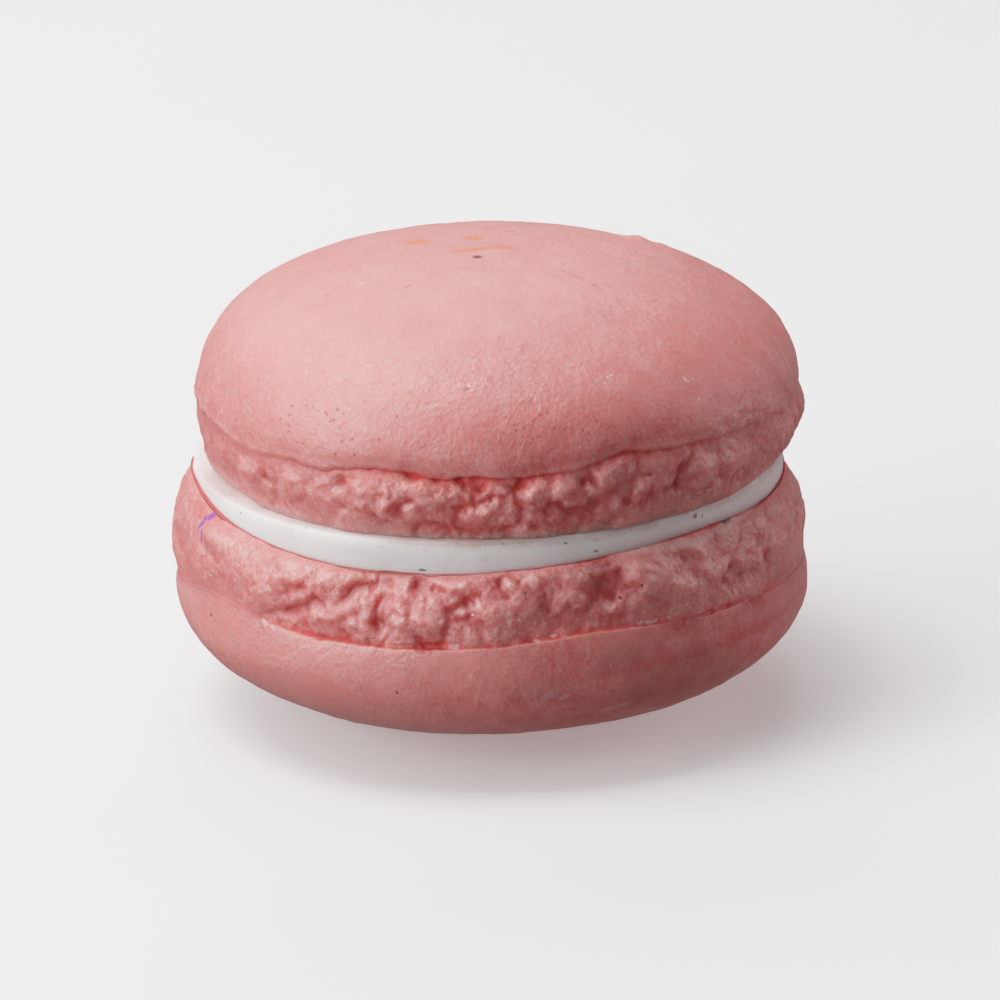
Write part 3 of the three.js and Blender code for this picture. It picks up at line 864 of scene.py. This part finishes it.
# The bowl's lip: how far in and down each ring is, with its crag weight and redness, the painted red shade
# of its crease.
LIP_PROFILE = (
    (0.22, 0.22, 0.0, 0), (0.25, 0.12, 0.03, 0), (0.31, 0.04, 0.1, 0), (0.4, 0.0, 0.15, 0.1),
    (0.5, 0.02, 0.3, 0.2),
)
# The dome's rim, which rolls over the foot: how far in and down each ring is, with its crag weight.
RIM_PROFILE = (
    (0.42, 0.34, 0.7), (0.3, 0.3, 0.55), (0.2, 0.22, 0.42), (0.12, 0.13, 0.32), (0.07, 0.04, 0.22),
    (0.03, -0.05, 0.12),
)
LEDGE_ROUNDING, RIM_TUCK, UPPER_FOOT_OVERLAP = 0.2, 0.35, 0.04
LIP_RAGGED, LIP_RAGGED_SIZE = 0.07, 0.7
FOOT_COLUMNS, SKIN_COLUMNS = 1280, 640
BOWL_ROWS, LOWER_FOOT_ROWS, FILLING_ROWS, UPPER_FOOT_ROWS, DOME_ROWS = 72, 42, 22, 40, 90
FILLING_RIPPLE, FILLING_RIPPLE_SIZE = 0.02, 2.5
# Rounds of smoothing that show up fine and broad hollows.
FINE_ROUNDS, BROAD_ROUNDS = 6, 40
# Dents of the smooth skins, inwards only: depth, size and seed.
DENTS = ((0.05, 3.1, 71), (0.03, 1.3, 72), (0.02, 0.7, 73))
# Bumps on the dome: middle, half-width and rise.
BUMPS = (((10.46, 6.76, 28.63), 0.75, 0.3), ((12.1, 6.6, 28.2), 0.45, 0.14), ((12.5, 5, 27.8), 4.0, 0.18))
BOX_MARGIN = 0.02

LOWER_ROUGHNESS = ((10, 58, 1.0), (-75, 30, 0.4), (90, 30, 0.4), (150, 50, 0.8), (-140, 40, 0.7))
UPPER_ROUGHNESS = ((6, 52, 1.0), (-75, 30, 0.7), (90, 32, 0.75), (150, 45, 0.7), (-140, 40, 0.7))
# How open the crease is between the foot and the smooth skin: 0 where they flow together.
LIP_CREASE = ((-20, 22, 1.0), (14, 15, 0.5), (45, 14, 0.9), (150, 42, 0.7), (-140, 32, 0.7))
RIM_CREASE = ((-12, 22, 1.0), (31, 14, 0.45), (150, 45, 0.6), (-140, 35, 0.6))
# Where the foot's roughness goes on over the dome's edge, and how far up in mm.
RIM_FADE, RIM_FADE_HEIGHT = ((60, 34, 0.9), (-72, 28, 0.75)), 1.5
# Raggedness of the dome's edge: rise, size and seed.
RIM_RAGGED = ((0.17, 1.9, 92), (0.12, 0.8, 93))
CREASE_CHANGE, CREASE_CHANGE_SIZE = 0.55, 2.4


def ragged_rim(bearing):
    return layered(ring_points(DOME_RADIUS, bearing, 0), RIM_RAGGED)


def rim_crease(bearing):
    change = CREASE_CHANGE * noise(ring_points(DOME_RADIUS, bearing, 0), CREASE_CHANGE_SIZE, 94)
    return np.clip(wave(RIM_CREASE, bearing) * (1 + change), 0, 1)


def folded(depth, crease):
    """A depth beside the crease, shallower where the foot flows into the skin."""
    return depth * (0.3 + 0.7 * crease)


def columns_for(radius):
    """Fewer columns near the pole, so that the faces stay about as wide."""
    columns = SKIN_COLUMNS
    while columns > 30 and radius < 0.5 * DOME_RADIUS * columns / SKIN_COLUMNS:
        columns //= 2
    return columns


def finish_shell(node, rings, crags, roughness, material, top):
    points, bearing, crag, seam, quads, triangles = rings.stitched()
    plain = points.copy()
    faces = np.concatenate([split_quads(points, quads), triangles])
    depth, crease = roughen(points, bearing, crag, faces, crags, roughness, rings.shift)
    faces = np.concatenate([split_quads(points, quads), triangles])

    # A little unevenness of the smooth skin, inwards only.
    off_axis = np.hypot(points[:, 0] - rings.shift, points[:, 1])
    skin = (1 - crag) * smooth_step(0.0, 0.6, points[:, 2]) * smooth_step(0.2, 2.5, off_axis)
    normals = normals_of(points, faces)
    dents = sum(deep * (noise(points, size, seed) - 1) for deep, size, seed in DENTS)
    inside = (plain[:, 2] == SEAT_HEIGHT) | (plain[:, 2] == LID_HEIGHT)
    points += normals * np.where(inside, 0, skin * dents)[:, None]
    for middle, width, rise in BUMPS:
        away = ((points - middle) ** 2).sum(1) / width**2
        points += normals * (rise * np.exp(-away))[:, None]

    # Nothing stands out of the solid's box.
    low, high = np.array(CAD_BOX) / MM
    inset = np.array([BOX_MARGIN, BOX_MARGIN, 0])
    points = np.clip(points, low + inset, high - BOX_MARGIN)
    points[:, 2] = np.minimum(points[:, 2], top)

    normals = normals_of(points, faces)
    # The hollows, relief, creases, redness and foot weight that the material paints: deep red shade in
    # hollows and creases, paler light on proud parts.
    fine = ((smoothed(points, faces, FINE_ROUNDS) - points) * normals).sum(1)
    broad = ((smoothed(points, faces, BROAD_ROUNDS) - points) * normals).sum(1)
    cavity = smoothed(fine + 0.5 * broad, faces, 1)[:, 0]
    soft = smoothed(np.stack([seam, crag], 1), faces, 2)
    marks = {"cavity": cavity, "depth": depth, "crease": crease, "seam": soft[:, 0], "foot": soft[:, 1]}
    piece = make_object(node + "_crust", points, faces, marks, material)
    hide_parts(node)
    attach(piece, "root")


def lower_shell(material):
    rings = Rings()
    rings.add(1, 0, 0)
    flat_angle = math.asin((BOWL_EQUATOR / BOWL_DEPTH) ** (BOWL_POWER / 2))
    flat_radius = superellipse(BOWL_RADIUS, BOWL_DEPTH, BOWL_POWER, flat_angle)[0]
    for radius in np.linspace(0.5, flat_radius, 8, endpoint=False):
        rings.add(columns_for(radius), radius, 0)

    for share in np.linspace(0, 1, BOWL_ROWS):
        angle = flat_angle * (1 - share)
        radius, drop = superellipse(BOWL_RADIUS, BOWL_DEPTH, BOWL_POWER, angle)
        columns = columns_for(radius)
        b = bearings(columns)
        fullness = 4 * share * (1 - share) * wave(BOWL_FULLNESS, b)
        height = BOWL_EQUATOR - drop
        rings.add(
            columns,
            radius + share * swell(radius, b, height) + fullness,
            np.maximum(0, height + share * lean(BOWL_TILT, radius, b)),
        )

    # The bowl's upper edge is thin and rounded, with a narrow groove behind it.
    b = bearings(SKIN_COLUMNS)
    lip = BOWL_LIP + wave(BOWL_LIP_WAVES, b)
    widest = BOWL_EQUATOR + lean(BOWL_TILT, BOWL_RADIUS, b)
    for share in (0.2, 0.4, 0.6, 0.8):
        radius = BOWL_RADIUS - BOWL_INSET * share**2
        radius = radius + (1 - share) * swell(BOWL_RADIUS, b, BOWL_EQUATOR)
        rings.add(SKIN_COLUMNS, radius, widest + (lip - 0.25 - widest) * share)
    b = bearings(FOOT_COLUMNS)
    lip = BOWL_LIP + wave(BOWL_LIP_WAVES, b)
    crease = np.minimum(1, wave(LIP_CREASE, b))
    lip = lip + crease * LIP_RAGGED * noise(ring_points(BOWL_RADIUS, b, 0), LIP_RAGGED_SIZE, 91)
    start = LIP_PROFILE[0][0]
    for inwards, down, crag, seam in LIP_PROFILE:
        radius = BOWL_RADIUS - start - folded(inwards - start, crease)
        rings.add(FOOT_COLUMNS, radius, lip - down, crag * crease, seam * crease)

    ledge = LEDGE_HEIGHT + wave(LEDGE_WAVES, b)
    bulge = LOWER_FOOT_BULGE + wave(LOWER_BULGES, b)
    setback = wave(TOP_SETBACKS, b)
    for share in np.linspace(0, 1, LOWER_FOOT_ROWS):
        radius = LOWER_FOOT_LOW + (LOWER_FOOT_HIGH - LOWER_FOOT_LOW) * share
        radius = radius + bulge * math.sin(math.pi * share)
        radius = radius - LEDGE_ROUNDING * share**10 - setback * share**4
        radius += (0.36 - 0.2 * crease) * math.exp(-share / 0.25) - 0.06 * crease * math.exp(-share / 0.06)
        weight = 1 - (1 - crease) * math.exp(-share / 0.15)
        height = lip - 0.02 * crease + (ledge - lip + 0.02 * crease) * share
        # Painted shade: the lowest rows of the foot, in the lip's crease, are painted red.
        rings.add(FOOT_COLUMNS, radius, height, weight, 0.25 * crease * math.exp(-share / 0.05))

    collar = np.maximum(SEAT_HEIGHT, COLLAR_HEIGHT + wave(COLLAR_WAVES, b))
    top = LOWER_FOOT_HIGH - LEDGE_ROUNDING - setback
    open_seam = np.minimum(1, wave(SEAM, b))
    inner = (COLLAR_RADIUS - setback / 2) * open_seam
    inner = inner + (filling_reach(b, collar) + COLLAR_GAP) * (1 - open_seam)
    for share in (0.15, 0.3, 0.45, 0.6, 0.72, 0.8, 0.88, 0.94, 1.0):
        radius = top + (inner - top) * share
        sunken = open_seam * smooth_step(0.7, 1.0, share)
        height = ledge + (collar - ledge) * share**0.8 - SEAM_DEPTH * sunken
        # Painted shade: the collar's inner slope is painted deep red where the seam is open.
        redness = np.maximum(0.06, open_seam * smooth_step(0.66, 0.84, share))
        rings.add(FOOT_COLUMNS, radius, height, 0.8 * (1 - share), redness)
    for share in (0.3, 0.65):
        radius = inner + (SEAT_RADIUS - inner) * share
        start = collar - SEAM_DEPTH * open_seam
        rings.add(FOOT_COLUMNS, radius, start + (SEAT_HEIGHT - start) * share, 0, open_seam)
    rings.add(FOOT_COLUMNS, SEAT_RADIUS, SEAT_HEIGHT)
    rings.add(SKIN_COLUMNS, SEAT_RADIUS - 1, SEAT_HEIGHT)
    rings.add(SKIN_COLUMNS // 2, SEAT_RADIUS / 2, SEAT_HEIGHT)
    rings.add(1, 0, SEAT_HEIGHT)
    crags = LOWER_CRAGS + spread_crags(*LOWER_SPREAD)
    finish_shell("lower_shell", rings, crags, LOWER_ROUGHNESS, material, LID_HEIGHT - 0.1)


def filling(material):
    rings = Rings()
    rings.add(1, 0, SEAT_HEIGHT)
    rings.add(SKIN_COLUMNS // 2, FILLING_FACE / 2, SEAT_HEIGHT)
    rings.add(SKIN_COLUMNS, FILLING_FACE - 1, SEAT_HEIGHT)
    rings.add(SKIN_COLUMNS, FILLING_FACE - 0.2, SEAT_HEIGHT)
    b = bearings(SKIN_COLUMNS)
    for n in range(FILLING_ROWS):
        angle = math.pi * ((n + 0.5) / FILLING_ROWS - 0.5)
        height = SEAT_HEIGHT + (LID_HEIGHT - SEAT_HEIGHT) * (1 + math.sin(angle)) / 2
        reach = filling_reach(b, height)
        ripple = noise(ring_points(reach, b, height), FILLING_RIPPLE_SIZE, 81)
        rings.add(SKIN_COLUMNS, reach + FILLING_RIPPLE * (ripple - 1), height)
    rings.add(SKIN_COLUMNS, FILLING_FACE - 0.2, LID_HEIGHT)
    rings.add(SKIN_COLUMNS, FILLING_FACE - 1, LID_HEIGHT)
    rings.add(SKIN_COLUMNS // 2, FILLING_FACE / 2, LID_HEIGHT)
    rings.add(1, 0, LID_HEIGHT)
    points, _, _, _, quads, triangles = rings.stitched()
    faces = np.concatenate([split_quads(points, quads), triangles])
    piece = make_object("cream_filling", points, faces, {}, material)
    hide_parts("filling")
    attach(piece, "root")


def upper_shell(material):
    rings = Rings(UPPER_SHIFT)
    rings.add(1, 0, LID_HEIGHT)
    rings.add(SKIN_COLUMNS // 2, UPPER_FACE / 2, LID_HEIGHT)
    rings.add(SKIN_COLUMNS, UPPER_FACE - 1, LID_HEIGHT)
    rings.add(FOOT_COLUMNS, UPPER_FACE - 0.2, LID_HEIGHT)
    b = bearings(FOOT_COLUMNS)
    rim = RIM_HEIGHT + wave(RIM_WAVES, b) + ragged_rim(b)
    bulge = UPPER_FOOT_BULGE + wave(UPPER_BULGES, b)
    low = LID_HEIGHT - UPPER_FOOT_OVERLAP + wave(UPPER_FOOT_RISES, b)
    rings.add(FOOT_COLUMNS, UPPER_FACE + 0.1, LID_HEIGHT + (low - LID_HEIGHT) / 3, 0.3)
    crease = rim_crease(b)
    for share in np.linspace(0, 1, UPPER_FOOT_ROWS):
        radius = UPPER_FOOT_LOW + (UPPER_FOOT_HIGH - UPPER_FOOT_LOW) * share
        radius = radius + bulge * math.sin(math.pi * share)
        radius += (0.12 * (1 - crease) - 0.62 * crease) * math.exp(-(1 - share) / 0.12)
        weight = (0.5 + 0.5 * min(1, share * 5)) * (1 - (1 - crease) * math.exp(-(1 - share) / 0.15))
        weight = np.maximum(weight, wave(RIM_FADE, b) * (share > 0.5))
        # Painted shade: the foot's top rows, under the dome's rim, are painted deep red where the crease
        # is open.
        redness = 0.7 * crease**2 * math.exp(-(1 - share) / 0.1)
        rings.add(FOOT_COLUMNS, radius, low + (rim - RIM_TUCK - low) * share, weight, redness)

    for inwards, down, crag in RIM_PROFILE:
        radius = DOME_RADIUS - folded(inwards, crease) - RIM_CURL * crease
        # Painted shade: the rim's rolled-under edge is painted red where the crease is open.
        redness = 0.45 * crease**2 * down / 0.34
        crag = np.maximum(crag * crease, wave(RIM_FADE, b))
        rings.add(FOOT_COLUMNS, radius, rim - down, crag, np.maximum(0, redness))

    for n in range(DOME_ROWS):
        share = (n + 0.3) / DOME_ROWS
        rise = superellipse(1, DOME_HEIGHT, DOME_POWER, share * math.pi / 2)[1]
        columns = columns_for(DOME_RADIUS * math.cos(share * math.pi / 2) ** (2 / DOME_POWER))
        b = bearings(columns)
        follow = max(0, 1 - share * 2)
        raised = (RIM_HEIGHT + wave(RIM_WAVES, b) + 0.125 - DOME_EQUATOR) * follow
        lift = raised * (1 - rise / DOME_HEIGHT)
        up = np.maximum(0, rise + lift)
        radius = DOME_RADIUS * (1 - (up / DOME_HEIGHT) ** DOME_POWER) ** (1 / DOME_POWER)
        height = DOME_EQUATOR + rise + lift
        over = np.maximum(0, height - RIM_HEIGHT - wave(RIM_WAVES, b))
        height = height + ragged_rim(b) * np.exp(-over)
        radius = radius - RIM_CURL * rim_crease(b) * np.exp(-over / RIM_CURL_HEIGHT)
        crag = wave(RIM_FADE, b) * np.exp(-((over / RIM_FADE_HEIGHT) ** 2))
        rings.add(
            columns,
            radius + swell(radius, b, height),
            height + (1 - follow) * lean(DOME_TILT, radius, b),
            np.where(crag > 0.02, crag, 0),
        )
    rings.close()
    crags = UPPER_CRAGS + spread_crags(*UPPER_SPREAD)
    finish_shell("upper_shell", rings, crags, UPPER_ROUGHNESS, material, DOME_EQUATOR + DOME_HEIGHT)


# ---------------- camera, lights and floor

AIM = Vector((0.75, 0, 12.9)) * MM
CAMERA_DISTANCE, CAMERA_ELEVATION, CAMERA_ROLL = 300 * MM, 19, 2
CAMERA_LENS, SENSOR_WIDTH = 162, 36

BOX_DISTANCE, BOX_WIDTH = 0.55, 0.28
# Soft boxes: name, bearing, elevation and power in watts.
SOFT_BOXES = (
    ("key", -60, 20, 1.8),
    ("upper_key", -80, 38, 0.9),
    ("top", -90, 70, 1.86),
    ("overhead", 0, 88, 0.42),
    ("back", 180, 40, 0.8),
    ("back_left", -140, 35, 0.7),
    ("right", 100, 20, 0.95),
    ("front", -20, 6, 0.3),
    ("low", -45, -28, 0.6),
)
WARM = {"right": (1, 0.8, 0.82)}
SKY, BOUNCE = (0.07, 0.07, 0.07, 1), (0.28, 0.2352, 0.2408, 1)

FILM_SHOULDER = 0.6
FILM_WHITE = 1 / (1 - FILM_SHOULDER)


def direction(bearing, elevation):
    b, e = math.radians(bearing), math.radians(elevation)
    return Vector((math.sin(b) * math.cos(e), -math.cos(b) * math.cos(e), math.sin(e)))


def make_camera():
    data = bpy.data.cameras.new("camera")
    data.lens = CAMERA_LENS
    data.sensor_width = SENSOR_WIDTH
    data.clip_start = 0.01
    camera = place("camera", data)
    back = direction(0, CAMERA_ELEVATION)
    roll = Matrix.Rotation(math.radians(-CAMERA_ROLL), 3, "Z")
    turn = (-back).to_track_quat("-Z", "Y").to_matrix() @ roll
    camera.matrix_world = Matrix.Translation(AIM + back * CAMERA_DISTANCE) @ turn.to_4x4()
    bpy.context.scene.camera = camera


def area_light(name, bearing, elevation, power):
    """A square soft box that looks at the macaron from a bearing and an elevation."""
    data = bpy.data.lights.new(name, "AREA")
    data.shape = "SQUARE"
    data.size = BOX_WIDTH
    data.energy = power
    data.color = WARM.get(name, (1, 1, 1))
    light = place(name, data)
    away = direction(bearing, elevation)
    light.location = AIM + away * BOX_DISTANCE
    light.rotation_euler = (-away).to_track_quat("-Z", "Y").to_euler()


def make_world():
    """A dim sky, and below the horizon the light that a pale floor sends back."""
    world = bpy.data.worlds.new("studio")
    bpy.context.scene.world = world
    t = Tree(world, "Background")
    below = t.ramp(t.split(t.node("ShaderNodeTexCoord").outputs["Generated"])["Z"], 0.05, -0.05)
    t.shade({"Color": t.mix(below, SKY, BOUNCE), "Strength": 1})


def film_curve():
    """Film-like highlights: white is at FILM_WHITE, and the shoulder starts gently well below it."""
    view = bpy.context.scene.view_settings
    view.view_transform = "Standard"
    view.use_curve_mapping = True
    view.curve_mapping.white_level = (FILM_WHITE,) * 3
    curve = view.curve_mapping.curves[3]
    for n in range(1, 8):
        light = FILM_WHITE * n / 8
        shown = (math.sqrt(1 + 4 * FILM_SHOULDER * light**2) - 1) / (2 * FILM_SHOULDER * light)
        curve.points.new(n / 8, shown)
    view.curve_mapping.update()


def make_studio():
    for box in SOFT_BOXES:
        area_light(*box)
    make_world()
    film_curve()

    bpy.ops.mesh.primitive_plane_add(size=4)
    floor = bpy.context.object
    floor.name = "studio_floor"
    floor.data.materials.append(floor_material())
    floor.visible_diffuse = False
    floor.visible_glossy = False


make_camera()
lower_shell(shell_material("pink_almond_bowl", LOWER_MARKS, 0))
filling(filling_material())
upper_shell(shell_material("pink_almond_dome", UPPER_MARKS, UPPER_SHIFT))
make_studio()
